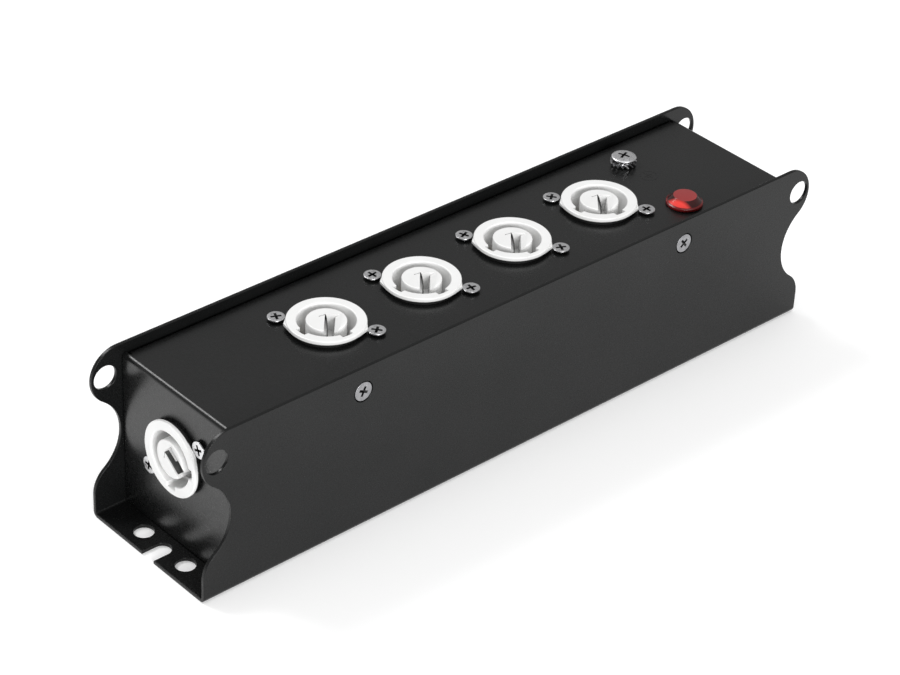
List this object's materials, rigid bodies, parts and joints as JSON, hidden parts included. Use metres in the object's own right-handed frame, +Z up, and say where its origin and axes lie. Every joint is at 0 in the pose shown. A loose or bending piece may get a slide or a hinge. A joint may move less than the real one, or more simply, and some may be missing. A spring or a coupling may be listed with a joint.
{
  "type": "portable power distribution box",
  "caption": "Long black folded-steel power box with twist-lock outlets on top, link sockets at its ends, lamp, earth screw and drilled fixing ears.",
  "frame": {"origin": "centre of the flat underside, which is the centre of the bottom of the bounding box", "axes": "+X along the box from the link outlet to the lamp end, +Y from the wall nearer the lamp to the wall nearer the earthing screw, +Z up out of the outlet panel"},
  "size_m": [0.25, 0.0542, 0.0587],
  "materials": {
    "black_steel": "satin black powder coat on 1.2 mm folded steel sheet",
    "white_plastic": "moulded near-white thermoplastic",
    "blue_plastic": "moulded blue thermoplastic",
    "contact_brass": "bright stamped brass",
    "zinc_steel": "bright zinc plate",
    "red_lens": "clear red moulded lens",
    "lamp_plastic": "moulded white nylon",
    "brown_wire": "brown PVC insulation",
    "blue_wire": "blue PVC insulation",
    "green_yellow_wire": "green and yellow PVC insulation"
  },
  "bodies": {
    "enclosure": {"base_channel": "black_steel", "cover": "black_steel", "cover_screw_1": "zinc_steel", "cover_screw_2": "zinc_steel", "cover_screw_3": "zinc_steel", "cover_screw_4": "zinc_steel", "earth_lead": "green_yellow_wire", "earth_nut": "zinc_steel", "earth_ring_terminal": "zinc_steel", "earth_wire": "green_yellow_wire", "inlet_earth_contact": "contact_brass", "inlet_housing": "blue_plastic", "inlet_live_contact": "contact_brass", "inlet_neutral_contact": "contact_brass", "inlet_screw_1": "zinc_steel", "inlet_screw_2": "zinc_steel", "lamp_body": "lamp_plastic", "lamp_lens": "red_lens", "lamp_live_lead": "brown_wire", "lamp_neutral_lead": "blue_wire", "lamp_nut": "lamp_plastic", "link_outlet_earth_contact": "contact_brass", "link_outlet_housing": "white_plastic", "link_outlet_live_contact": "contact_brass", "link_outlet_neutral_contact": "contact_brass", "link_outlet_screw_1": "zinc_steel", "link_outlet_screw_2": "zinc_steel", "live_wire": "brown_wire", "neutral_wire": "blue_wire", "outlet_1_earth_contact": "contact_brass", "outlet_1_housing": "white_plastic", "outlet_1_live_contact": "contact_brass", "outlet_1_neutral_contact": "contact_brass", "outlet_1_screw_1": "zinc_steel", "outlet_1_screw_2": "zinc_steel", "outlet_2_earth_contact": "contact_brass", "outlet_2_housing": "white_plastic", "outlet_2_live_contact": "contact_brass", "outlet_2_neutral_contact": "contact_brass", "outlet_2_screw_1": "zinc_steel", "outlet_2_screw_2": "zinc_steel", "outlet_3_earth_contact": "contact_brass", "outlet_3_housing": "white_plastic", "outlet_3_live_contact": "contact_brass", "outlet_3_neutral_contact": "contact_brass", "outlet_3_screw_1": "zinc_steel", "outlet_3_screw_2": "zinc_steel", "outlet_4_earth_contact": "contact_brass", "outlet_4_housing": "white_plastic", "outlet_4_live_contact": "contact_brass", "outlet_4_neutral_contact": "contact_brass", "outlet_4_screw_1": "zinc_steel", "outlet_4_screw_2": "zinc_steel"},
    "lock_washer": {"earth_lock_washer": "zinc_steel"},
    "terminal_screw": {"earth_screw": "zinc_steel"}
  },
  "joints": [
    {"name": "terminal_lift", "type": "slide", "parent": "enclosure", "child": "lock_washer", "axis": [0, 0, 1], "range_m": [0, 0.0028]},
    {"name": "terminal_turn", "type": "hinge", "parent": "lock_washer", "child": "terminal_screw", "pos_m": [0.0793, 0.0143, 0.057], "axis": [0, 0, 1], "range_deg": [0, 1440]}
  ],
  "couplings": [
    {"joint": "terminal_turn", "follows": "terminal_lift", "rad_per_m": 8975.9}
  ]
}
